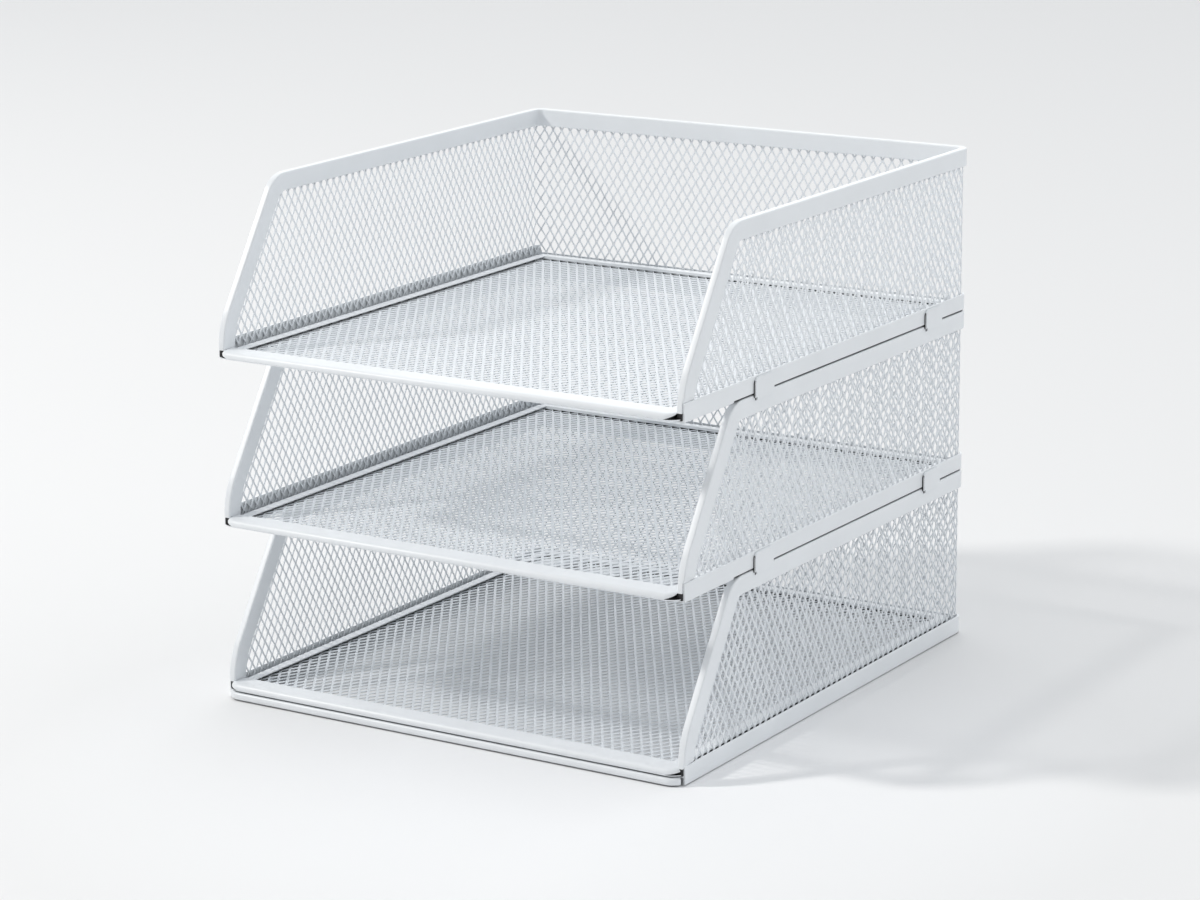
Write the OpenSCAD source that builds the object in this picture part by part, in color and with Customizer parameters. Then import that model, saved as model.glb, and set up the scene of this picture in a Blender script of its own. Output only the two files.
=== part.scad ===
// Three-tier letter tray in folded and expanded sheet steel.
// Every tray has mesh walls and a mesh floor held in folded hems, and stands on the rim
// of the tray below, between tabs that lap outside its base band.
// The origin is at the middle of the footprint on the table, and the open front faces -Y.

/* [Tray] */
// Width over the side rims
tray_w = 290; // [230:1:380]
// Depth from the front lip to the back rim
tray_d = 320; // [250:1:420]
// Height of one tray from its base to its rim
tray_h = 92.7; // [75:0.1:130]
// Height of the lowest tray's ledge above the table
base_lift = 3.8; // [2:0.1:8]
// Radius of the upright back corners
corner_r = 8; // [7:0.5:16]

/* [Folded sheet] */
// Thickness of the folded sheet
sheet = 1.1; // [0.8:0.1:1.6]
// Outside radius of a folded edge
fold_r = 1.2; // [0.6:0.1:1.6]
// Play between a mesh and the sheets that hold it
fit = 0.1; // [0.05:0.05:0.3]

/* [Rim] */
// Height of the rim
rim_h = 10; // [8:0.5:14]
// Lean of the front edge from upright
lean = 33; // [20:1:45]
// Setback of the front edge's foot
foot_set = 5; // [3:0.5:10]
// Height above the base at which the foot would meet the leaning edge
knee_z = 16.6; // [14:0.1:30]
// Outside radius of the bend at the top of the leaning edge
bend_r = 18; // [15:1:40]
// Outside radius of the bend at the foot of the leaning edge
foot_r = 40; // [16:1:60]

/* [Mesh] */
// Thickness of the expanded mesh
mesh_t = 1.8; // [1:0.1:3]
// Short pitch of the openings
cell_w = 15; // [12:0.5:24]
// Long pitch of the openings
cell_h = 23.4; // [18:0.1:36]
// Width of a strand
strand_w = 3; // [1.5:0.1:4]
// Solid edge round a mesh panel
mesh_edge = 7.5; // [3:0.5:8]

/* [Base] */
// Height of the base band
band_h = 9.8; // [8:0.1:16]
// Thickness of the base band
band_t = 1; // [0.8:0.1:1.6]
// Width of the ledge along the base band
ledge_w = 7; // [5:0.5:12]
// Setback of the base band's front ends
band_set = 6; // [4:0.5:12]

/* [Floor] */
// Width of the floor's side and back hems
hem_w = 8.5; // [8:0.5:14]
// Depth of the front lip
lip_w = 17; // [14:0.5:30]
// Radius of the front lip's corners
lip_r = 7; // [3:0.5:12]

/* [Tabs] */
// Length of a stacking tab
tab_w = 20; // [10:1:40]
// Height of a tab above the rim
tab_rise = 9.2; // [5:0.1:15]
// Lap of a tab on the rim below
tab_drop = 2.8; // [2:0.1:6]
// Thickness of a tab
tab_t = 1; // [0.8:0.1:2]
// Radius of a tab's upper corners
tab_r = 3.5; // [1:0.5:5]
// Relief notch at a tab's lower front corner
tab_notch = 1.5; // [0.5:0.1:1.6]
// Distance of the front tab from the front
tab_front = 75; // [60:1:120]
// Distance of the rear tab from the back
tab_back = 35; // [20:1:60]
// Play between a tab and the band that it laps
tab_gap = 0.1; // [0.1:0.05:0.4]

/* [Hidden] */
TIERS = ["bottom", "middle", "top"];
PIECES = ["left_wall", "right_wall", "back_wall", "left_rim", "right_rim", "back_rim",
          "left_band", "right_band", "back_band", "floor_mesh", "left_hem", "right_hem",
          "back_hem", "front_lip"];
TABS = ["left_front_tab", "right_front_tab", "left_rear_tab", "right_rear_tab"];

coat = [0.93, 0.94, 0.95];
bend_steps = 6;
fold_steps = 3;
corner_share = 0.5;
$fn = 48;

half_w = tray_w / 2;
half_d = tray_d / 2;
side_end = tray_d - corner_r;
flat_end = half_w - corner_r;
ledge = min(ledge_w, corner_r - band_t);
mesh_in = max(sheet, tab_gap + band_t) + fit;
wall_in = mesh_in + mesh_t + fit;
fold_t = wall_in + sheet;
edge_in = sheet + fit;
floor_in = wall_in + fit;
lip_d = max(lip_w, foot_set + rim_h + sheet);
rise = [base_lift, 0, 0];
base_z = [0, tray_h + base_lift, 2 * tray_h + base_lift];
foot_bend = min(foot_r, (knee_z - band_t) / tan(lean / 2));
foot_run = foot_bend * tan(lean / 2);
bend_run = bend_r * tan((90 - lean) / 2);
top_set = foot_set + (tray_h - knee_z) * tan(lean) + bend_run;
cell_side = cell_w * cell_h / 2 / sqrt(cell_w * cell_w + cell_h * cell_h);
hole_scale = 1 - strand_w / 2 / cell_side;
front_tab = max(tab_front, top_set);
rear_tab = tray_d - tab_back - tab_w;

// Points along an arc about c from angle a to angle b in n steps
function arc(c, r, a, b, n = bend_steps) =
    [for (i = [0 : n]) c + r * [cos(a + (b - a) * i / n), sin(a + (b - a) * i / n)]];

// Path of a side rim in the side view, e inside its outer edge: from height low at the foot,
// up the leaning edge and along the top to its end
function rim_path(e, low, lift, end = side_end) = concat(
    [[foot_set + e, low]],
    arc([foot_set + foot_bend, knee_z + lift - foot_run], foot_bend - e, 180, 180 - lean),
    arc([top_set, tray_h + lift - bend_r], bend_r - e, 180 - lean, 90),
    [[end, tray_h + lift - e]]);

// Outline of a side wall, e inside the rim's outer edge
function side_outline(e, low, lift, end = side_end) =
    concat(rim_path(e, low, lift, end), [[end, low]]);

// Upright panel from -x to x
function panel(x, low, high) = [[-x, low], [x, low], [x, high], [-x, high]];

// Section of a strip t thick: x across it, y inward from its rounded edge
function strip_section(t, depth) =
    let (r = min(fold_r, t / 2))
    concat(arc([r, r], r, 180, 270, fold_steps),
           arc([t - r, r], r, 270, 360, fold_steps),
           [[t, depth], [0, depth]]);

// Section of a folded hem, open along its inner edge
function fold_section(depth) =
    let (inner = fold_t - sheet)
    concat(arc([fold_r, fold_r], fold_r, 180, 270, fold_steps),
           arc([fold_t - fold_r, fold_r], fold_r, 270, 360, fold_steps),
           [[fold_t, depth], [inner, depth], [inner, sheet], [sheet, sheet], [sheet, depth], [0, depth]]);

// Outline of the floor, e inside its outer edge, from front to the back edge
function floor_outline(e, front) =
    let (x = half_w - floor_in - e, y = half_d - floor_in - e, r = max(corner_r - floor_in - e, sheet))
    concat([[-x, front], [x, front]],
           arc([x - r, y - r], r, 0, 90),
           arc([r - x, y - r], r, 90, 180));

// Outline of a strip across the front with rounded front corners
function front_outline(depth) =
    let (x = half_w - tab_gap - lip_r)
    concat(arc([-x, lip_r - half_d], lip_r, 180, 270),
           arc([x, lip_r - half_d], lip_r, 270, 360),
           [[x + lip_r, depth - half_d], [-x - lip_r, depth - half_d]]);

// Section of the base band with its ledge: x down from its top edge, y inward
module band_section(lift) {
    square([band_h, band_t]);
    translate([band_h - lift - band_t, 0])
        square([band_t, ledge]);
}

// Carries a section along straight runs and bends, each [run, radius, angle],
// where a bend turns towards the section's y
module carry(path, i = 0) {
    run = path[i][0];
    radius = path[i][1];
    angle = path[i][2];
    if (run > 0)
        linear_extrude(run)
            children();
    if (angle > 0)
        translate([0, radius, run])
            rotate([90, 0, -90])
                rotate_extrude(angle = angle)
                    translate([radius, 0])
                        mirror([1, 1])
                            children();
    if (i < len(path) - 1)
        translate([0, radius, run])
            rotate([-angle, 0, 0])
                translate([0, -radius, 0])
                    carry(path, i + 1)
                        children();
}

// One opening of the mesh
module diamond() {
    polygon(hole_scale / 2 * [[cell_w, 0], [0, cell_h], [-cell_w, 0], [0, -cell_h]]);
}

// Staggered openings over the rectangle from low to high
module openings(low, high) {
    columns = ceil((high.x - low.x) / cell_w);
    rows = ceil((high.y - low.y) / cell_h * 2);
    for (j = [0 : rows])
        for (i = [0 : columns])
            translate([low.x + (i + j % 2 / 2) * cell_w, low.y + j * cell_h / 2])
                diamond();
}

// Puts a piece at its tier, in the coat's colour
module tier(i) {
    color(coat)
        translate([0, 0, base_z[i]])
            children();
}

// Puts a piece drawn for the right on the left
module left() {
    mirror([1, 0, 0])
        children();
}

// Stands a side view upright, t thick, with its outer face at x
module on_side(x, t) {
    translate([x - t, -half_d, 0])
        rotate([90, 0, 90])
            linear_extrude(t)
                children();
}

module side_wall(i) {
    low = rise[i] + band_t;
    on_side(half_w - mesh_in, mesh_t)
        difference() {
            polygon(side_outline(edge_in, low, rise[i]));
            intersection() {
                polygon(side_outline(mesh_edge, low + edge_in, rise[i], side_end - strand_w));
                openings([0, low], [side_end, tray_h + rise[i]]);
            }
        }
}

// Mesh bent round a back corner, with one column of narrow openings and a leg along the back
module corner_mesh(height) {
    inner = corner_r - mesh_in - mesh_t;
    difference() {
        union() {
            rotate_extrude(angle = 90)
                translate([inner, 0])
                    square([mesh_t, height]);
            translate([-strand_w, inner, 0])
                cube([strand_w, mesh_t, height]);
        }
        for (z = [cell_h / 2 + edge_in : cell_h : height - cell_h / 2 - mesh_edge])
            rotate([90, 0, 135])
                translate([0, z, 0])
                    linear_extrude(corner_r)
                        scale([corner_share, 1])
                            diamond();
    }
}

module back_mesh(i) {
    low = rise[i] + band_t;
    high = tray_h + rise[i] - edge_in;
    reach = cell_w * ceil(flat_end / cell_w);
    translate([0, half_d - mesh_in, 0])
        rotate([90, 0, 0])
            linear_extrude(mesh_t)
                difference() {
                    polygon(panel(flat_end - strand_w / 2, low, high));
                    intersection() {
                        polygon(panel(flat_end - strand_w, low + edge_in, high + edge_in - mesh_edge));
                        openings([-reach, low], [reach, high]);
                    }
                }
    translate([flat_end, half_d - corner_r, low])
        corner_mesh(high - low);
    left()
        translate([flat_end, half_d - corner_r, low])
            corner_mesh(high - low);
}

// Side view of a side rim, from e inside its outer edge to depth inside it
module rim_strip(i, e, depth) {
    low = rise[i] + band_t;
    inner = rim_path(depth, low, rise[i]);
    polygon(concat(rim_path(e, low, rise[i]), [for (k = [len(inner) - 1 : -1 : 0]) inner[k]]));
}

module side_rim(i) {
    difference() {
        for (k = [0 : fold_steps - 1])
            on_side(half_w - k * fold_r / fold_steps, fold_t - 2 * k * fold_r / fold_steps)
                rim_strip(i, fold_r * (1 - sin(90 * (k + 1) / fold_steps)), rim_h);
        on_side(half_w - sheet, fold_t - 2 * sheet)
            rim_strip(i, sheet, rim_h + sheet);
        translate([half_w - mesh_in, -half_d, 0])
            cube([mesh_in + fit, lip_d + rim_h, band_h + fit]);
    }
}

module rim_across(i) {
    translate([half_w, half_d - corner_r, tray_h + rise[i]])
        rotate([-90, 90, 0])
            carry([[0, corner_r, 90], [2 * flat_end, corner_r, 90]])
                mirror([1, -1])
                    polygon(fold_section(rim_h));
}

module side_band(i) {
    translate([half_w - tab_gap, band_set - half_d, band_h])
        rotate([-90, 90, 0])
            linear_extrude(side_end - band_set)
                band_section(rise[i]);
}

module band_across(i) {
    radius = corner_r - tab_gap;
    translate([half_w - tab_gap, half_d - corner_r, band_h])
        rotate([-90, 90, 0])
            carry([[0, radius, 90], [2 * flat_end, radius, 90]])
                band_section(rise[i]);
}

module floor_panel(i) {
    reach = cell_w * ceil(half_w / cell_w);
    translate([0, 0, rise[i] + band_t + edge_in])
        linear_extrude(mesh_t)
            difference() {
                polygon(floor_outline(edge_in, lip_d - hem_w - half_d));
                intersection() {
                    polygon(floor_outline(hem_w - edge_in, lip_d - edge_in - half_d));
                    openings([-reach, -half_d], [reach, half_d]);
                }
            }
}

module side_hem(i) {
    translate([half_w - floor_in, half_d - floor_in - hem_w, rise[i] + band_t])
        rotate([90, -90, 0])
            linear_extrude(tray_d - floor_in - hem_w - lip_d)
                polygon(fold_section(hem_w));
}

module hem_across(i) {
    intersection() {
        translate([-half_w, half_d - floor_in, rise[i] + band_t])
            rotate([0, -90, 180])
                linear_extrude(tray_w)
                    polygon(fold_section(hem_w));
        linear_extrude(tray_h)
            polygon(floor_outline(0, -half_d));
    }
}

// Strip across the front from height low, cut to the rounded front corners
module across_front(low, depth) {
    intersection() {
        translate([half_w, -half_d, low])
            rotate([0, -90, 0])
                linear_extrude(tray_w)
                    children();
        linear_extrude(tray_h)
            polygon(front_outline(depth));
    }
}

module lip(i) {
    foot_x = half_w - fold_t - fit;
    difference() {
        across_front(rise[i] + band_t, lip_d)
            polygon(fold_section(lip_d));
        for (x = [-half_w, foot_x])
            translate([x, foot_set - fit - half_d, 0])
                cube([half_w - foot_x, lip_d, tray_h]);
    }
}

// Tab that stands on the side rim, with its front edge set back by front
module tab(i, front) {
    low = tray_h + rise[i] - tab_drop;
    high = tray_h + rise[i] + tab_rise;
    on_side(half_w + tab_t, tab_t)
        polygon(concat(
            [[front, low + tab_notch], [front + tab_notch, low + tab_notch], [front + tab_notch, low],
             [front + tab_w, low]],
            arc([front + tab_w - tab_r, high - tab_r], tab_r, 0, 90),
            arc([front + tab_r, high - tab_r], tab_r, 90, 180)));
}

module left_wall(i) tier(i) left() side_wall(i);
module right_wall(i) tier(i) side_wall(i);
module back_wall(i) tier(i) back_mesh(i);
module left_rim(i) tier(i) left() side_rim(i);
module right_rim(i) tier(i) side_rim(i);
module back_rim(i) tier(i) rim_across(i);
module left_band(i) tier(i) left() side_band(i);
module right_band(i) tier(i) side_band(i);
module back_band(i) tier(i) band_across(i);
module floor_mesh(i) tier(i) floor_panel(i);
module left_hem(i) tier(i) left() side_hem(i);
module right_hem(i) tier(i) side_hem(i);
module back_hem(i) tier(i) hem_across(i);
module front_lip(i) tier(i) lip(i);
module left_front_tab(i) tier(i) left() tab(i, front_tab);
module right_front_tab(i) tier(i) tab(i, front_tab);
module left_rear_tab(i) tier(i) left() tab(i, rear_tab);
module right_rear_tab(i) tier(i) tab(i, rear_tab);

module front_bar(i) {
    tier(i)
        across_front(0, band_set)
            polygon(strip_section(base_lift + band_t, band_set));
}

for (i = [0 : 2]) {
    left_wall(i);
    right_wall(i);
    back_wall(i);
    left_rim(i);
    right_rim(i);
    back_rim(i);
    left_band(i);
    right_band(i);
    back_band(i);
    floor_mesh(i);
    left_hem(i);
    right_hem(i);
    back_hem(i);
    front_lip(i);
}
for (i = [0, 1]) {
    left_front_tab(i);
    right_front_tab(i);
    left_rear_tab(i);
    right_rear_tab(i);
}
front_bar(0);  // bottom_front_bar
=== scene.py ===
import math

import bmesh
import bpy
import numpy as np
from mathutils import Matrix


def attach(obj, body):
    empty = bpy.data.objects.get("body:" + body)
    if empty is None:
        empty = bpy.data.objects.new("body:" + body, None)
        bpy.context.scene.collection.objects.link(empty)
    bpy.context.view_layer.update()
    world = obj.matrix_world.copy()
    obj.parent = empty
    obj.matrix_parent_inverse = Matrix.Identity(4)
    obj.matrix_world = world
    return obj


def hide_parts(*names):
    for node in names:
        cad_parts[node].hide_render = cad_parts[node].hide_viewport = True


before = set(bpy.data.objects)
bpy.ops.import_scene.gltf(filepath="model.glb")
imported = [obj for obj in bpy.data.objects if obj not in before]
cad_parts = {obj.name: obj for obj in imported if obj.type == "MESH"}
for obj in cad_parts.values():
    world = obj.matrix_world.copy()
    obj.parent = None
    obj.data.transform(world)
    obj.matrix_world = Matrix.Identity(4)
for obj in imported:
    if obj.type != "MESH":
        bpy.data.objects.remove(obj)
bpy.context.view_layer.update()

# The object's sizes are in millimetres and its angles in degrees
MM = 0.001

# Tray as a whole, with the radius of its back corners
TRAY_W, TRAY_D, TRAY_H = 290.0, 320.0, 92.7
HALF_W, HALF_D = TRAY_W / 2, TRAY_D / 2
CORNER_R, CORNER_STEPS = 8.0, 8

# Trays from below: rise of the ledge above the tray's own foot, height of the foot above the ground
TIERS = ("bottom", "middle", "top")
BASE_LIFT = 3.8
RISE = {"bottom": BASE_LIFT, "middle": 0.0, "top": 0.0}
BASE_Z = {"bottom": 0.0, "middle": TRAY_H + BASE_LIFT, "top": 2 * TRAY_H + BASE_LIFT}

# Sheet, mesh and clearance, then how deep the mesh lies in a fold and how thick the fold is
SHEET, MESH_T, FIT = 1.1, 1.8, 0.1
MESH_IN = SHEET + FIT
FOLD_T = MESH_IN + MESH_T + FIT + SHEET
FOLD_STEPS = 5

# Rim: depth of its leaves, radius of the fold, eased edges, height up to which its foot is painted near-black
# as shade
RIM_H, RIM_R, RIM_EASE = 10.0, 0.9, 0.3
SHADED_FOOT = 6.0

# Front edge of the rim: upright foot, knee, leaning stretch, bend into the level top
LEAN, FOOT_SET, KNEE_Z = 33.0, 5.0, 16.6
FOOT_R, BEND_R, EDGE_STEPS = 40.0, 18.0, 14
FOOT_RUN = FOOT_R * math.tan(math.radians(LEAN / 2))
BEND_RUN = BEND_R * math.tan(math.radians((90 - LEAN) / 2))
TOP_SET = FOOT_SET + (TRAY_H - KNEE_Z) * math.tan(math.radians(LEAN)) + BEND_RUN

# Base band: height, thickness, radius of its lower edge, eased upper edge, then its front end and its ledge
BAND_H, BAND_T, BAND_R, BAND_EASE = 9.8, 1.0, 0.4, 0.3
BAND_SET, LEDGE_W, BAND_STEPS = 6.0, 7.0, 4

# Slit between a band and the rim below it, and the seat inside the slit
SLIT, SEAT_IN = 0.9, 1.4

# How much lower the band is at the back, and how many stations of a corner keep the full height
BACK_DROP, TALL_TURN = {"bottom": 1.5, "middle": 4.8, "top": 4.8}, 5

# Hems: width, gap behind them, leaves, radius of the fold, eased edge, then the wall's inner face
HEM_W, HEM_GAP = 8.5, 2.4
LEAF, BACK_LEAF = 0.6, 1.7
HEM_R, HEM_EASE = 1.2, 0.2
FLOOR_IN = FOLD_T - SHEET + FIT

# Front lip: width, radius of its corners in plan, angle where its ends stop, pocket for the floor mesh
LIP_W, LIP_R, LIP_END = 13.0, 9.0, 210
POCKET = 3.0
FRONT_ANGLE, FRONT_STATIONS = 270, 11
NOSE_POINTS = 7

# Opening between the lip's leaves round its corners, in full or in part, and a gap that keeps points apart
MOUTH_DEPTH, MOUTH_RECESS, MOUTH_LEAF = 5.0, 2.2, 1.0
MOUTH_SHARE = {"bottom": 0.5, "middle": 1.0, "top": 1.0}
HAIR = 0.02

# Bar under the bottom lip: radius, slit above it, angle where its ends stop
BAR_R, BAR_SLIT, BAR_END = 1.6, 0.5, 213

# Stacking tabs: plate, place along the rim, gap to the band, notch at the lower front corner, softened edge,
# and how far a face has to look to the front to be painted near-black as shade
TAB_W, TAB_RISE, TAB_DROP, TAB_T, TAB_R = 20.0, 9.2, 2.8, 1.0, 3.5
TAB_FRONT, TAB_BACK, TAB_GAP, TAB_NOTCH = 75.0, 35.0, 0.1, 1.5
TAB_STEPS, TAB_BEVEL, TAB_BEVEL_STEPS = 8, 0.35, 3
TAB_SHADE_FACING = -0.8

# Expanded metal: pitches, corners of a cell in half pitches, softened edge, rounding at a cell's tips
PITCH_S, PITCH_L = 6.0, 9.35
HALF_PITCH = np.array([PITCH_S / 2, PITCH_L / 2])
CELL_CORNERS = np.array([(0, 1), (1, 0), (0, -1), (-1, 0)])
STRAND_BEVEL, TIP_SHARE = 0.1, 0.2

# Strands: width, thickness, lean, width of the bond where two strands meet
WALL_STRAND = (0.95, 0.65, 0.0, 1.7)
FLOOR_STRAND = (1.4, 0.35, 0.3, 2.1)

# Edges sharper than this stay sharp
SHARP, TAB_SHARP = 40.0, 30.0

# Powder coats: colour, roughness, strength of the grain. All three are one coat; the floor mesh's colour is
# darker as painted shade.
SHEET_COAT = ((0.84, 0.867, 0.892), 0.36, 0.12)
WALL_COAT = ((0.828, 0.858, 0.888), 0.38, 0.08)
FLOOR_COAT_SHADED = ((0.758, 0.79, 0.825), 0.38, 0.08)

# Mottling, gloss and grain of a coat: scale and detail of the noise, then what it does
MOTTLE, MOTTLE_RANGE, MOTTLE_SHADE = (35, 3), (0.3, 0.7), 0.965
GLOSS, GLOSS_SPREAD = (120, 2), 0.06
GRAIN, GRAIN_DEPTH = (1400, 2), 0.0002
COAT_SPECULAR = 0.5

# Painted shade in slits and crevices, from ambient occlusion: reach in metres, openness at which the painted
# shade is full and gone, share of colour that stays
CREVICE_SHADE_REACH, CREVICE_SHADE_OPEN, CREVICE_SHADE_KEPT, CREVICE_SHADE_SAMPLES = 0.0025, (0.08, 0.28), 0.04, 4

# Painted shade: near-black material for shade inside the joints, its dark and light tone, scale of their
# variation, roughness
SHADE_BLACK_TONES = ((0.012, 0.012, 0.013), (0.03, 0.03, 0.032))
SHADE_BLACK_SCALE, SHADE_BLACK_ROUGHNESS = 300, 0.7

# Studio paper in metres: half size, drop under the object, colours at distances from a centre, a painted pool
# of light that is brightest by the object's front and darker further away
PAPER_HALF, PAPER_DROP = 12.0, 0.0005
PAPER_LIGHT_POOL_CENTRE, PAPER_LIGHT_POOL_REACH = (0.08, -0.16, 0.0), 4.5
PAPER_LIGHT_POOL_TONES = ((0.09, (0.915, 0.92, 0.93)), (0.3, (0.795, 0.795, 0.795)), (4.5, (0.77, 0.77, 0.77)))
PAPER_ROUGHNESS, PAPER_SPECULAR = 0.9, 0.1

# Key lamp in metres
KEY_PLACE, KEY_TARGET, KEY_SIZE = (-2.85, -1.9, 2.95), (0, 0, 0.1), 0.42
KEY_WATTS, KEY_COLOUR = 88, (1.0, 0.975, 0.94)

# Light of the room, with soft panels: direction, edge as a cosine, change of brightness at the middle
ROOM_LIGHT, ROOM_COLOUR = 0.9, (0.96, 0.98, 1.0)
PANELS = (
    ((-0.5, 0.8, 0.4), 0.6, 0.9),
    ((-1.0, -0.1, 0.1), 0.2, -0.55),
    ((0.6, -0.8, 0.0), 0.1, -0.5),
    ((0.8, 0.6, 0.1), 0.3, 0.25),
)

# Camera: lens and sensor in millimetres, place and far end of its view in metres, turns in radians
LENS, SENSOR, FAR_END = 109.749, 36.0, 50
CAMERA_PLACE = (1.04522, -1.66356, 0.62050)
CAMERA_YAW, CAMERA_PITCH, CAMERA_ROLL = 0.5616, -0.2478, 0.0081


def arc(centre, radius, start, end, steps):
    """Points along an arc."""
    angles = np.radians(np.linspace(start, end, steps + 1))
    return np.asarray(centre) + radius * np.stack([np.cos(angles), np.sin(angles)], axis=1)


def rim_path(inset, low, lift):
    """Side view of the rim's edge, from height low at the foot up the leaning edge and along the top."""
    start = (FOOT_SET + inset, low)
    foot = arc((FOOT_SET + FOOT_R, KNEE_Z + lift - FOOT_RUN), FOOT_R - inset, 180, 180 - LEAN, EDGE_STEPS)
    bend = arc((TOP_SET, TRAY_H + lift - BEND_R), BEND_R - inset, 180 - LEAN, 90, EDGE_STEPS)
    end = (TRAY_D - CORNER_R, TRAY_H + lift - inset)
    return np.vstack([[start], foot, bend, [end]])


def inside(points, polygon):
    """Tells which points lie inside a polygon."""
    result = np.zeros(len(points), bool)
    x, y = points[:, 0], points[:, 1]
    for (x0, y0), (x1, y1) in zip(polygon, np.roll(polygon, -1, axis=0)):
        if y0 != y1:
            crosses = (y0 > y) != (y1 > y)
            result ^= crosses & (x < (x1 - x0) * (y - y0) / (y1 - y0) + x0)
    return result


def add_piece(name, verts, faces, tier, nodes, material, sharp=SHARP, shaded_faces=()):
    """Makes a mesh piece from millimetres in its tier's frame that stands for CAD nodes. The shaded faces get
    a near-black material as painted shade inside a joint."""
    mesh = bpy.data.meshes.new(name)
    verts = np.asarray(verts, float) + (0, 0, BASE_Z[tier])
    mesh.from_pydata((verts * MM).tolist(), [], faces)
    mesh.validate()
    shape = bmesh.new()
    shape.from_mesh(mesh)
    bmesh.ops.recalc_face_normals(shape, faces=shape.faces)
    shape.to_mesh(mesh)
    shape.free()
    mesh.polygons.foreach_set("use_smooth", [True] * len(mesh.polygons))
    mesh.set_sharp_from_angle(angle=math.radians(sharp))
    mesh.materials.append(material)
    # Painted shade: the listed faces get the near-black material
    if shaded_faces:
        mesh.materials.append(bpy.data.materials["near_black_shade"])
        for k in shaded_faces:
            mesh.polygons[k].material_index = 1
    piece = bpy.data.objects.new(name, mesh)
    bpy.context.scene.collection.objects.link(piece)
    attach(piece, tier + "_tray")
    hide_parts(*[f"{tier}_{n}" for n in nodes])
    return piece


def sweep(section, stations):
    """Carries a closed section of (u, v) along stations of (point, u direction, v direction)."""
    points = [np.asarray(p) + section[:, :1] * np.asarray(u) + section[:, 1:] * np.asarray(v)
              for p, u, v in stations]
    turn, length = len(section), len(stations)
    faces = []
    for i in range(length - 1):
        here, there = i * turn, (i + 1) * turn
        faces += [(here + k, here + (k + 1) % turn, there + (k + 1) % turn, there + k) for k in range(turn)]
    faces += [tuple(range(turn - 1, -1, -1)), tuple(range((length - 1) * turn, length * turn))]
    return np.vstack(points), faces


def round_back(offset, height):
    """Stations round the back from the right corner to the left one, offset inside the outer faces: point,
    inward direction."""
    stations = []
    radius = CORNER_R - offset
    for side, start in ((1, 0), (-1, 90)):
        centre = np.array([side * (HALF_W - CORNER_R), HALF_D - CORNER_R])
        for a in np.radians(np.linspace(start, start + 90, CORNER_STEPS + 1)):
            out = np.array([math.cos(a), math.sin(a)])
            stations.append(((*(centre + radius * out), height), (-out[0], -out[1], 0)))
    return stations


def build_rim(tier, material):
    """Folded rim over the mesh's edge: one strip from foot to foot, tucked behind the band."""
    lift = RISE[tier]
    low = lift + BAND_T
    inner = FOLD_T - SHEET
    section = np.vstack([
        arc((RIM_R, RIM_R), RIM_R, 180, 270, FOLD_STEPS),
        arc((FOLD_T - RIM_R, RIM_R), RIM_R, 270, 360, FOLD_STEPS),
        [(FOLD_T, RIM_H - RIM_EASE), (FOLD_T - RIM_EASE, RIM_H), (inner, RIM_H), (inner, SHEET)],
        [(SHEET, SHEET), (SHEET, RIM_H), (RIM_EASE, RIM_H), (0, RIM_H - RIM_EASE)],
    ])
    outer, step = rim_path(0, low, lift), rim_path(1, low, lift)
    right = [((HALF_W, s - HALF_D, z), (-1, 0, 0), (0, *d)) for (s, z), d in zip(outer, step - outer)]
    left = [((-HALF_W, p[1], p[2]), (1, 0, 0), d) for p, _, d in reversed(right)]
    back = [(p, n, (0, 0, -1)) for p, n in round_back(0, TRAY_H + lift)]
    verts, faces = sweep(section, right[:-1] + back + left[1:])
    tucked = verts[:, 2] < BAND_H
    limit = HALF_W - MESH_IN
    verts[tucked, 0] = np.clip(verts[tucked, 0], -limit, limit)
    # Painted shade: the faces low on the foot get the near-black material
    shaded_faces = [k for k, face in enumerate(faces) if verts[list(face), 2].max() < lift + SHADED_FOOT]
    nodes = ["left_rim", "right_rim", "back_rim"]
    add_piece(f"{tier}_rim_fold", verts, faces, tier, nodes, material, shaded_faces=shaded_faces)


def band_parts(lift):
    """Section of the base band in four parts: upper side of its ledge, top edge, lower edge, underside. On
    the upper trays the lower edge stays above the seat, which leaves a slit."""
    ledge = lift + BAND_T
    low = 0 if lift else SLIT
    upper = [(LEDGE_W, ledge), (BAND_T, ledge)]
    top = [(BAND_T, BAND_H), (BAND_EASE, BAND_H), (0, BAND_H - BAND_EASE)]
    foot = arc((BAND_R, low + BAND_R), BAND_R, 180, 270, BAND_STEPS)
    under = [(SEAT_IN, low), (SEAT_IN, 0), (LEDGE_W, 0)]
    if lift:
        under = [(BAND_T, 0), (BAND_T, lift), (LEDGE_W, lift)]
    return upper, top, foot, under


def build_band(tier, material):
    """Base band with its ledge: one strip from front end to front end, lower behind the back hem. The slit of
    the upper trays ends where the rim below bends down."""
    lift = RISE[tier]
    parts = band_parts(lift)
    section = np.vstack(parts)
    x, front = HALF_W - TAB_GAP, BAND_SET - HALF_D
    up = (0, 0, 1)
    start = TOP_SET - BEND_RUN - HALF_D
    right = [((x, y, 0), (-1, 0, 0), up) for y in (front, start, start + SLIT)]
    left = [((-x, p[1], 0), (1, 0, 0), up) for p, _, _ in reversed(right)]
    stations = right + [(p, n, up) for p, n in round_back(TAB_GAP, 0)] + left
    verts, faces = sweep(section, stations)
    turn = len(section)
    rings = verts.reshape(len(stations), turn, 3)
    top_at = len(parts[0])
    foot_at = top_at + len(parts[1])
    # On the upper trays: no slit at the front, and painted shade in a near-black material on the slit's upper
    # side and on the seat
    seat = []
    if not lift:
        rings[[0, 1, -2, -1], foot_at:turn - 2, 2] -= SLIT
        seat = [i * turn + turn - k for i in range(len(stations) - 1) for k in (3, 4)]
    rings[len(right) + TALL_TURN:-len(left) - TALL_TURN, top_at:foot_at, 2] -= BACK_DROP[tier]
    nodes = ["left_band", "right_band", "back_band"]
    add_piece(f"{tier}_band_fold", verts, faces, tier, nodes, material, shaded_faces=seat)


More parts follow.
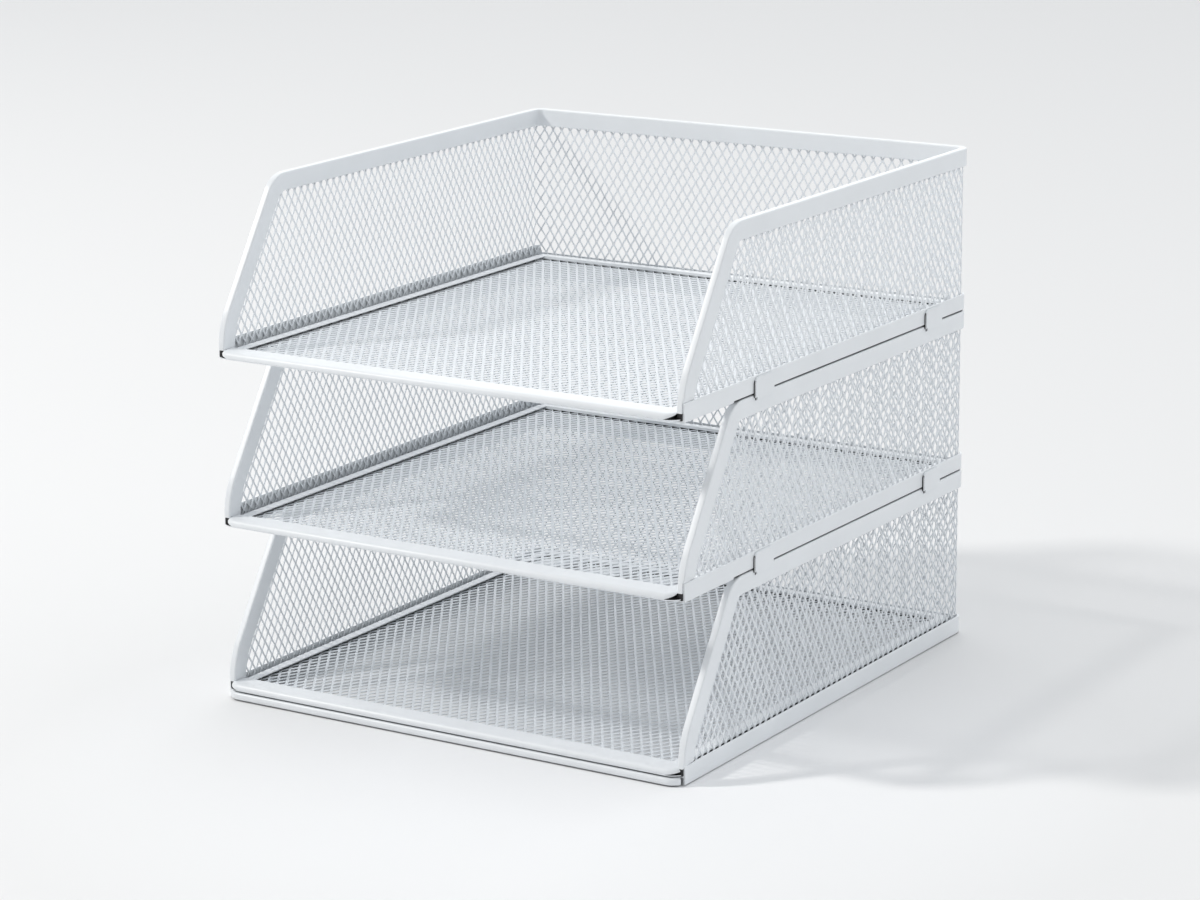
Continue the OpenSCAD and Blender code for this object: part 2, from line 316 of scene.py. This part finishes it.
def cell_rings(width, thickness, lean, bond):
    """Ten-sided opening of one mesh cell at its upper, middle and lower level: x, y, height. The right edge
    stands up and the left edge down by half the lean, so that the strands lie like slats."""
    half_s, half_l = HALF_PITCH
    reach = half_s * half_l / math.hypot(half_s, half_l)
    scale = 1 - width / 2 / reach
    # The opening is a diamond with its tips at h, cut off at x = a, where its edges stand at b
    a = half_s - bond / 2
    h = half_l * scale
    b = h * (1 - a / (half_s * scale))
    near = (a * TIP_SHARE, h + (b - h) * TIP_SHARE)
    quarter = np.array([near, (a, b)])
    right = np.vstack([quarter, quarter[::-1] * (1, -1)])
    outline = np.vstack([[(0, h)], right, [(0, -h)], right[::-1] * (-1, 1)])
    slant = lean / 2 * np.sign(outline[:, 0])
    wide = 1 + STRAND_BEVEL / (reach * scale)
    levels = ((wide, thickness / 2), (1, 0), (wide, -thickness / 2))
    return np.array([np.column_stack([outline * k, slant + z]) for k, z in levels])


def mesh_faces(cells, index, count, sides):
    """Faces of expanded metal: both sides of each cell, the walls of its opening, and an outer edge where no
    cell follows. The index gives the four of count corner points round each cell."""
    kept = set(map(tuple, cells))
    faces = []
    for c, (top, right, bottom, left) in enumerate(index):
        first = 2 * count + c * 3 * sides
        for shift, base, turn in ((0, first, 1), (count, first + 2 * sides, -1)):
            n, e, s, w = top + shift, right + shift, bottom + shift, left + shift
            h = range(base, base + sides)
            level = [(n, h[0], h[1]), (n, h[1], h[2], e), (e, h[2], h[3]), (e, h[3], h[4], s),
                     (s, h[4], h[5]), (s, h[5], h[6]), (s, h[6], h[7], w), (w, h[7], h[8]),
                     (w, h[8], h[9], n), (n, h[9], h[0])]
            faces += [f[::turn] for f in level]
        for base in (first, first + sides):
            faces += [(base + k, base + k + sides, base + (k + 1) % sides + sides, base + (k + 1) % sides)
                      for k in range(sides)]
        i, j = cells[c]
        borders = ((1, 1, top, right), (1, -1, right, bottom), (-1, -1, bottom, left), (-1, 1, left, top))
        for di, dj, p, q in borders:
            if (i + di, j + dj) not in kept:
                faces.append((p, q, q + count, p + count))
    return faces


def expanded_mesh(cells, place, strand):
    """Mesh of expanded metal from kept cells, given as pairs of half-pitch steps, put in place by
    place(along, across, height)."""
    thickness = strand[1]
    corners = cells[:, None, :] + CELL_CORNERS
    nodes, index = np.unique(corners.reshape(-1, 2), axis=0, return_inverse=True)
    flat = nodes * HALF_PITCH
    levels = [np.column_stack([flat, np.full(len(flat), z)]) for z in (thickness / 2, -thickness / 2)]
    rings = cell_rings(*strand)
    centres = np.column_stack([cells * HALF_PITCH, np.zeros(len(cells))])
    holes = (centres[:, None, None, :] + rings[None]).reshape(-1, 3)
    local = np.vstack(levels + [holes])
    verts = place(local[:, 0], local[:, 1], local[:, 2])
    return verts, mesh_faces(cells, index.reshape(-1, 4), len(nodes), rings.shape[1])


def lattice(low, high):
    """All cells of the staggered lattice whose centres lie in a rectangle, in half-pitch steps."""
    i0, i1 = math.ceil(low[0] * 2 / PITCH_S), math.floor(high[0] * 2 / PITCH_S)
    j0, j1 = math.ceil(low[1] * 2 / PITCH_L), math.floor(high[1] * 2 / PITCH_L)
    i, j = np.meshgrid(np.arange(i0, i1 + 1), np.arange(j0, j1 + 1), indexing="ij")
    cells = np.column_stack([i.ravel(), j.ravel()])
    return cells[cells.sum(axis=1) % 2 == 0]


def within(cells, test):
    """Keeps the cells whose four corners all pass a test on points."""
    good = np.ones(len(cells), bool)
    for step in CELL_CORNERS:
        good &= test((cells + step) * HALF_PITCH)
    return cells[good]


def build_walls(tier, material):
    """Wall mesh: one sheet bent round the left side, the back and the right side."""
    lift = RISE[tier]
    low = lift + BAND_T
    radius = CORNER_R - (MESH_IN + MESH_T / 2)
    back = HALF_W - CORNER_R
    bend = radius * math.pi / 2
    side = TRAY_D - CORNER_R
    half = back + bend + side
    path = rim_path(MESH_IN + FIT, low, lift)
    beyond = TRAY_D * 2
    outline = np.vstack([path, [(beyond, path[-1, 1]), (beyond, low)]])

    def test(points):
        s = half - np.abs(points[:, 0])
        return inside(np.column_stack([s, points[:, 1] + low]), outline)

    def place(along, across, height):
        u, sign = np.abs(along), np.sign(along)
        a = np.clip((u - back) / radius, 0, math.pi / 2)
        x = np.minimum(u, back) + (radius + height) * np.sin(a)
        y = HALF_D - CORNER_R + (radius + height) * np.cos(a) - np.maximum(u - back - bend, 0)
        return np.column_stack([sign * x, y, across + low])

    cells = within(lattice((-half, 0), (half, TRAY_H)), test)
    verts, faces = expanded_mesh(cells, place, WALL_STRAND)
    nodes = ["left_wall", "right_wall", "back_wall"]
    add_piece(f"{tier}_wall_mesh", verts, faces, tier, nodes, material)


def build_floor(tier, material):
    """Floor mesh, held in the hems and the lip."""
    z = RISE[tier] + BAND_T + MESH_IN + MESH_T / 2
    edge = FLOOR_IN + HEM_GAP + MESH_IN
    x = HALF_W - edge
    front, rear = LIP_W - POCKET - HALF_D, HALF_D - edge

    def test(points):
        return (np.abs(points[:, 0]) <= x) & (points[:, 1] >= front) & (points[:, 1] <= rear)

    def place(along, across, height):
        return np.column_stack([along, across, z + height])

    cells = within(lattice((-HALF_W, -HALF_D), (HALF_W, HALF_D)), test)
    verts, faces = expanded_mesh(cells, place, FLOOR_STRAND)
    add_piece(f"{tier}_floor_strands", verts, faces, tier, ["floor_mesh"], material)


def build_hems(tier, material):
    """Folded strips along the sides and the back of the floor, open towards the mesh. The lower part of their
    outer side and their hollow are painted near-black as shade."""
    low = RISE[tier] + BAND_T
    x, y = HALF_W - FLOOR_IN - HEM_GAP, HALF_D - FLOOR_IN - HEM_GAP
    width = HEM_W - HEM_GAP
    front, rear = LIP_W - HALF_D, y - width
    ends = x - CORNER_R / 4
    strips = (("left_hem", LEAF, (1, 0, 0), (-x, rear), (-x, front)),
              ("right_hem", LEAF, (-1, 0, 0), (x, front), (x, rear)),
              ("back_hem", BACK_LEAF, (0, -1, 0), (ends, y), (-ends, y)))
    fold = np.vstack([arc((HEM_R, HEM_R), HEM_R, 270, 180, FOLD_STEPS),
                      arc((HEM_R, FOLD_T - HEM_R), HEM_R, 180, 90, FOLD_STEPS)])
    edge = [(width - HEM_EASE, FOLD_T), (width, FOLD_T - HEM_EASE)]
    hollow_at = len(fold) + len(edge)
    for name, leaf, inward, first, last in strips:
        hollow = [(width, FOLD_T - leaf), (LEAF, FOLD_T - leaf), (LEAF, LEAF), (width, LEAF)]
        section = np.vstack([fold, edge, hollow, [(width, 0)]])
        verts, faces = sweep(section, [((*p, low), inward, (0, 0, 1)) for p in (first, last)])
        # Painted shade: the outer side's lower faces and the hollow get the near-black material
        shaded_faces = [*range(FOLD_STEPS + 1), *range(hollow_at, hollow_at + len(hollow) - 1)]
        add_piece(f"{tier}_{name}_fold", verts, faces, tier, [name], material, shaded_faces=shaded_faces)


def front_stations(end):
    """Plan of the rounded front edge from its left end to its right one: point, outward direction, share of
    the bend."""
    centre = HALF_W - TAB_GAP - LIP_R
    left = []
    for angle in np.linspace(end, FRONT_ANGLE, FRONT_STATIONS):
        out = np.array([math.cos(math.radians(angle)), math.sin(math.radians(angle))])
        point = np.array([-centre, LIP_R - HALF_D]) + LIP_R * out
        left.append((point, out, (FRONT_ANGLE - angle) / (FRONT_ANGLE - end)))
    right = [(p * (-1, 1), out * (-1, 1), share) for p, out, share in reversed(left)]
    return left + right


def nose(start, stop, radius, height, inset=0.0):
    """Points (inset, height) of a rounded nose between two angles about its middle height."""
    angles = np.radians(np.linspace(start, stop, NOSE_POINTS))
    return np.column_stack([inset + radius * (1 - np.cos(angles)), height + radius * np.sin(angles)])


def front_grid(stations, profiles):
    """Points of a front edge with one profile from underside to upper side at each station, its faces, and
    the number of points in a profile."""
    verts = np.vstack([np.column_stack([p - profile[:, :1] * out, profile[:, 1]])
                       for (p, out, _), profile in zip(stations, profiles)])
    turn = len(profiles[0])
    faces = [(i * turn + k, (i + 1) * turn + k, (i + 1) * turn + k + 1, i * turn + k + 1)
             for i in range(len(stations) - 1) for k in range(turn - 1)]
    return verts, faces, turn


def lip_profile(low, share):
    """Nose of the lip's fold. Round the corners it opens between its leaves."""
    radius = FOLD_T / 2
    middle = low + radius
    slit = low + MOUTH_LEAF
    edge = slit + HAIR + share * (FOLD_T - MOUTH_LEAF - LEAF / 2)
    under, over = (math.degrees(math.asin((z - middle) / radius)) for z in (slit, edge))
    lower = nose(-90, under, radius, middle)
    upper = nose(over, 90, radius, middle, MOUTH_RECESS * share)
    depth = lower[-1, 0] + HAIR + MOUTH_DEPTH * share
    return np.vstack([lower, [(depth, slit), (depth, edge)], upper])


def lip_corners(low, nose_end):
    """Corners behind the lip's nose: four of its underside, four of its upper side, then four of the pocket's
    lower side and four of its upper side."""
    high = low + FOLD_T
    foot_x = HALF_W - FOLD_T - FIT
    notch = FOOT_SET - FIT - HALF_D
    back = LIP_W - HALF_D
    pocket_x, pocket_y = foot_x - SHEET, back - POCKET - FIT
    pocket = [(pocket_x, back), (-pocket_x, back), (-pocket_x, pocket_y), (pocket_x, pocket_y)]
    corners = [(x, y, z) for front, z in ((notch, low), (nose_end, high))
               for x, y in ((foot_x, front), (foot_x, back), (-foot_x, back), (-foot_x, front))]
    return corners + [(x, y, z) for z in (low + LEAF, high - LEAF) for x, y in pocket]


def lip_faces(count, turn):
    """Faces behind the lip's nose of count points, turn of them in each profile. The lip's corners follow in
    fours, from b on its underside, t on its upper side, and pb and pt in its pocket."""
    b, t, pb, pt = range(count, count + 16, 4)
    upper = (*range(turn - 1, count, turn), t, t + 1, t + 2, t + 3)
    under = (*range(count - turn, -1, -turn), b + 3, b + 2, b + 1, b)
    ends = [(*range(count - 1, count - turn - 1, -1), b, t), (*range(turn), t + 3, b + 3)]
    sides = [(t, b, b + 1, t + 1), (t + 2, b + 2, b + 3, t + 3)]
    rear = [(t + 1, b + 1, pb, pt), (b + 1, b + 2, pb + 1, pb), (b + 2, t + 2, pt + 1, pb + 1),
            (t + 2, t + 1, pt, pt + 1)]
    pocket = [(pb, pb + 1, pb + 2, pb + 3), (pt, pt + 3, pt + 2, pt + 1), (pb + 1, pt + 1, pt + 2, pb + 2),
              (pb + 2, pt + 2, pt + 3, pb + 3), (pb + 3, pt + 3, pt, pb)]
    return [*ends, upper, under, *sides, *rear, *pocket]


def build_lip(tier, material):
    """Wide rounded hem at the front of the floor, with a pocket for the mesh. Mouths and ends are painted
    near-black as shade.
    """
    low = RISE[tier] + BAND_T
    stations = front_stations(LIP_END)
    profiles = [lip_profile(low, MOUTH_SHARE[tier] * share) for _, _, share in stations]
    verts, faces, turn = front_grid(stations, profiles)
    mouth = range(NOSE_POINTS - 1, NOSE_POINTS + 2)
    corner = [i for i in range(len(stations) - 1) if stations[i][2] + stations[i + 1][2] > 0]
    # Painted shade: the mouth faces round the corners and both end faces get the near-black material
    shaded_faces = [i * (turn - 1) + k for i in corner for k in mouth]
    shaded_faces += [len(faces), len(faces) + 1]
    faces += lip_faces(len(verts), turn)
    verts = np.vstack([verts, lip_corners(low, verts[-1, 1])])
    add_piece(f"{tier}_lip_fold", verts, faces, tier, ["front_lip"], material, shaded_faces=shaded_faces)


def build_bar(tier, material):
    """Rounded bar under the lip of the lowest tray."""
    high = BASE_LIFT + BAND_T - BAR_SLIT
    profile = np.vstack([nose(-90, 0, BAR_R, BAR_R), nose(0, 90, BAR_R, high - BAR_R)])
    stations = front_stations(BAR_END)
    verts, faces, turn = front_grid(stations, [profile] * len(stations))
    count = len(verts)
    upper, under = tuple(range(turn - 1, count, turn)), tuple(range(count - turn, -1, -turn))
    rear = (*range(turn), *range(count - 1, count - turn - 1, -1))
    faces += [upper, under, rear]
    add_piece(f"{tier}_bar", verts, faces, tier, ["front_bar"], material)


def build_tab(tier, side, place, front, material):
    """Stacking tab: a plate on the rim that laps outside the band above, with softened edges and a front edge
    painted near-black as shade."""
    low, high = TRAY_H + RISE[tier] - TAB_DROP, TRAY_H + RISE[tier] + TAB_RISE
    notch = front + TAB_NOTCH, low + TAB_NOTCH
    outline = np.vstack([[(front, notch[1]), notch, (notch[0], low), (front + TAB_W, low)],
                         arc((front + TAB_W - TAB_R, high - TAB_R), TAB_R, 0, 90, TAB_STEPS),
                         arc((front + TAB_R, high - TAB_R), TAB_R, 90, 180, TAB_STEPS)])
    shape = bmesh.new()
    face = shape.faces.new([shape.verts.new((HALF_W, s - HALF_D, z)) for s, z in outline])
    made = bmesh.ops.extrude_face_region(shape, geom=[face])["geom"]
    moved = [v for v in made if isinstance(v, bmesh.types.BMVert)]
    bmesh.ops.translate(shape, verts=moved, vec=(TAB_T, 0, 0))
    rim = [e for e in shape.edges if all(v in moved for v in e.verts)]
    bmesh.ops.bevel(shape, geom=rim, offset=TAB_BEVEL, segments=TAB_BEVEL_STEPS, affect="EDGES")
    if side == "left":
        bmesh.ops.scale(shape, vec=(-1, 1, 1), verts=shape.verts)
    bmesh.ops.recalc_face_normals(shape, faces=shape.faces)
    shape.normal_update()
    shape.verts.index_update()
    shape.faces.index_update()
    verts = [tuple(v.co) for v in shape.verts]
    faces = [tuple(v.index for v in f.verts) for f in shape.faces]
    # Painted shade: the faces that look to the front get the near-black material
    shaded_edge = [f.index for f in shape.faces if f.normal.y < TAB_SHADE_FACING]
    shape.free()
    name = f"{side}_{place}_tab"
    add_piece(f"{tier}_{name}_plate", verts, faces, tier, [name], material, TAB_SHARP, shaded_edge)


def new_material(name):
    """Empty material: itself, its nodes and links, its shader, and coordinates on the object."""
    material = bpy.data.materials.new(name)
    material.use_nodes = True
    nodes, links = material.node_tree.nodes, material.node_tree.links
    place = nodes.new("ShaderNodeTexCoord").outputs["Object"]
    return material, nodes, links, nodes["Principled BSDF"], place


def powder_coat(name, colour, roughness, grain):
    """White powder coat: fine orange-peel bump, faint mottling of colour and gloss, and painted shade that
    darkens narrow slits and crevices.
    """
    material, nodes, links, shader, place = new_material(name)
    shader.inputs["Specular IOR Level"].default_value = COAT_SPECULAR

    def noise(scale, detail):
        node = nodes.new("ShaderNodeTexNoise")
        node.inputs["Scale"].default_value = scale
        node.inputs["Detail"].default_value = detail
        links.new(place, node.inputs["Vector"])
        return node.outputs["Fac"]

    tint = nodes.new("ShaderNodeValToRGB")
    dark, light = tint.color_ramp.elements
    dark.position, light.position = MOTTLE_RANGE
    dark.color = (*[c * MOTTLE_SHADE for c in colour], 1)
    light.color = (*colour, 1)
    links.new(noise(*MOTTLE), tint.inputs["Fac"])
    # Painted shade: ambient occlusion scales the coat's colour down in slits and crevices
    slit = nodes.new("ShaderNodeAmbientOcclusion")
    slit.samples = CREVICE_SHADE_SAMPLES
    slit.inputs["Distance"].default_value = CREVICE_SHADE_REACH
    crevice_shade = nodes.new("ShaderNodeMapRange")
    crevice_shade.inputs["From Min"].default_value, crevice_shade.inputs["From Max"].default_value = CREVICE_SHADE_OPEN
    crevice_shade.inputs["To Min"].default_value = CREVICE_SHADE_KEPT
    links.new(slit.outputs["AO"], crevice_shade.inputs["Value"])
    shade = nodes.new("ShaderNodeVectorMath")
    shade.operation = "SCALE"
    links.new(tint.outputs["Color"], shade.inputs[0])
    links.new(crevice_shade.outputs["Result"], shade.inputs["Scale"])
    links.new(shade.outputs["Vector"], shader.inputs["Base Color"])
    gloss = nodes.new("ShaderNodeMapRange")
    gloss.inputs["To Min"].default_value = roughness - GLOSS_SPREAD
    gloss.inputs["To Max"].default_value = roughness + GLOSS_SPREAD
    links.new(noise(*GLOSS), gloss.inputs["Value"])
    links.new(gloss.outputs["Result"], shader.inputs["Roughness"])
    bump = nodes.new("ShaderNodeBump")
    bump.inputs["Strength"].default_value = grain
    bump.inputs["Distance"].default_value = GRAIN_DEPTH
    links.new(noise(*GRAIN), bump.inputs["Height"])
    links.new(bump.outputs["Normal"], shader.inputs["Normal"])
    return material


def near_black_shade():
    """Near-black painted shade inside the joints, with faint variation."""
    _, nodes, links, shader, place = new_material("near_black_shade")
    shader.inputs["Roughness"].default_value = SHADE_BLACK_ROUGHNESS
    shade_variation = nodes.new("ShaderNodeTexNoise")
    shade_variation.inputs["Scale"].default_value = SHADE_BLACK_SCALE
    links.new(place, shade_variation.inputs["Vector"])
    tint = nodes.new("ShaderNodeValToRGB")
    for stop, colour in zip(tint.color_ramp.elements, SHADE_BLACK_TONES):
        stop.color = (*colour, 1)
    links.new(shade_variation.outputs["Fac"], tint.inputs["Fac"])
    links.new(tint.outputs["Color"], shader.inputs["Base Color"])


def floor_material():
    """Pale studio paper with a painted pool of light: bright near its centre by the object, darker further
    away.
    """
    material, nodes, links, shader, place = new_material("studio_paper")
    shader.inputs["Roughness"].default_value = PAPER_ROUGHNESS
    shader.inputs["Specular IOR Level"].default_value = PAPER_SPECULAR
    distance = nodes.new("ShaderNodeVectorMath")
    distance.operation = "DISTANCE"
    distance.inputs[1].default_value = PAPER_LIGHT_POOL_CENTRE
    links.new(place, distance.inputs[0])
    ramp = nodes.new("ShaderNodeMapRange")
    ramp.inputs["From Max"].default_value = PAPER_LIGHT_POOL_REACH
    links.new(distance.outputs["Value"], ramp.inputs["Value"])
    tone = nodes.new("ShaderNodeValToRGB")
    stops = tone.color_ramp.elements
    stops.new(0.5)
    for stop, (reach, colour) in zip(stops, PAPER_LIGHT_POOL_TONES):
        stop.position, stop.color = reach / PAPER_LIGHT_POOL_REACH, (*colour, 1)
    links.new(ramp.outputs["Result"], tone.inputs["Fac"])
    links.new(tone.outputs["Color"], shader.inputs["Base Color"])
    return material


def build_paper():
    """Floor of studio paper."""
    mesh = bpy.data.meshes.new("studio_floor")
    corners = [(x * PAPER_HALF, y * PAPER_HALF, 0) for x, y in ((-1, -1), (1, -1), (1, 1), (-1, 1))]
    mesh.from_pydata(corners, [], [(0, 1, 2, 3)])
    floor = bpy.data.objects.new("studio_floor", mesh)
    floor.location.z = -PAPER_DROP
    mesh.materials.append(floor_material())
    bpy.context.scene.collection.objects.link(floor)


def build_key():
    """Square area lamp aimed at the object."""
    data = bpy.data.lights.new("key", "AREA")
    data.size, data.energy, data.color = KEY_SIZE, KEY_WATTS, KEY_COLOUR
    key = bpy.data.objects.new("key", data)
    key.location = KEY_PLACE
    aim = np.subtract(KEY_TARGET, KEY_PLACE)
    tilt = math.acos(aim[2] / np.linalg.norm(aim)) - math.pi
    key.rotation_euler = (tilt, 0, math.atan2(aim[1], aim[0]) + math.pi / 2)
    bpy.context.scene.collection.objects.link(key)


def build_world():
    """Even studio light with soft panels."""
    world = bpy.data.worlds.new("studio")
    world.use_nodes = True
    nodes, links = world.node_tree.nodes, world.node_tree.links
    sky = nodes["Background"]
    sky.inputs["Color"].default_value = (*ROOM_COLOUR, 1)
    place = nodes.new("ShaderNodeTexCoord")
    total = None
    for direction, edge, change in PANELS:
        facing = nodes.new("ShaderNodeVectorMath")
        facing.operation = "DOT_PRODUCT"
        facing.inputs[1].default_value = np.array(direction) / np.linalg.norm(direction)
        links.new(place.outputs["Generated"], facing.inputs[0])
        panel = nodes.new("ShaderNodeMapRange")
        panel.interpolation_type = "SMOOTHSTEP"
        panel.inputs["From Min"].default_value = edge
        panel.inputs["To Max"].default_value = change
        links.new(facing.outputs["Value"], panel.inputs["Value"])
        add = nodes.new("ShaderNodeMath")
        add.inputs[0].default_value = ROOM_LIGHT
        if total:
            links.new(total, add.inputs[0])
        links.new(panel.outputs["Result"], add.inputs[1])
        total = add.outputs["Value"]
    links.new(total, sky.inputs["Strength"])
    bpy.context.scene.world = world


def build_camera():
    """Camera at the picture's angle."""
    data = bpy.data.cameras.new("camera")
    data.sensor_fit, data.sensor_width = "HORIZONTAL", SENSOR
    data.lens = LENS
    data.clip_end = FAR_END
    camera = bpy.data.objects.new("camera", data)
    turn = Matrix.Rotation(CAMERA_YAW, 4, "Z") @ Matrix.Rotation(CAMERA_PITCH, 4, "X")
    turn = turn @ Matrix.Rotation(CAMERA_ROLL, 4, "Y") @ Matrix.Rotation(math.pi / 2, 4, "X")
    camera.matrix_world = Matrix.Translation(CAMERA_PLACE) @ turn
    bpy.context.scene.collection.objects.link(camera)
    bpy.context.scene.camera = camera


def build_object():
    """All trays."""
    near_black_shade()
    sheet = powder_coat("coat_on_sheet", *SHEET_COAT)
    wall = powder_coat("coat_on_wall_mesh", *WALL_COAT)
    # The floor mesh's coat is darker as painted shade
    floor = powder_coat("coat_on_floor_mesh_darkened", *FLOOR_COAT_SHADED)
    for tier in TIERS:
        build_rim(tier, sheet)
        build_band(tier, sheet)
        build_walls(tier, wall)
        build_floor(tier, floor)
        build_hems(tier, sheet)
        build_lip(tier, sheet)
        if tier != "top":
            for side in ("left", "right"):
                build_tab(tier, side, "front", TAB_FRONT, sheet)
                build_tab(tier, side, "rear", TRAY_D - TAB_BACK - TAB_W, sheet)
    build_bar("bottom", sheet)


build_camera()
build_paper()
build_key()
build_world()
build_object()
bpy.context.scene.view_settings.view_transform = "Standard"
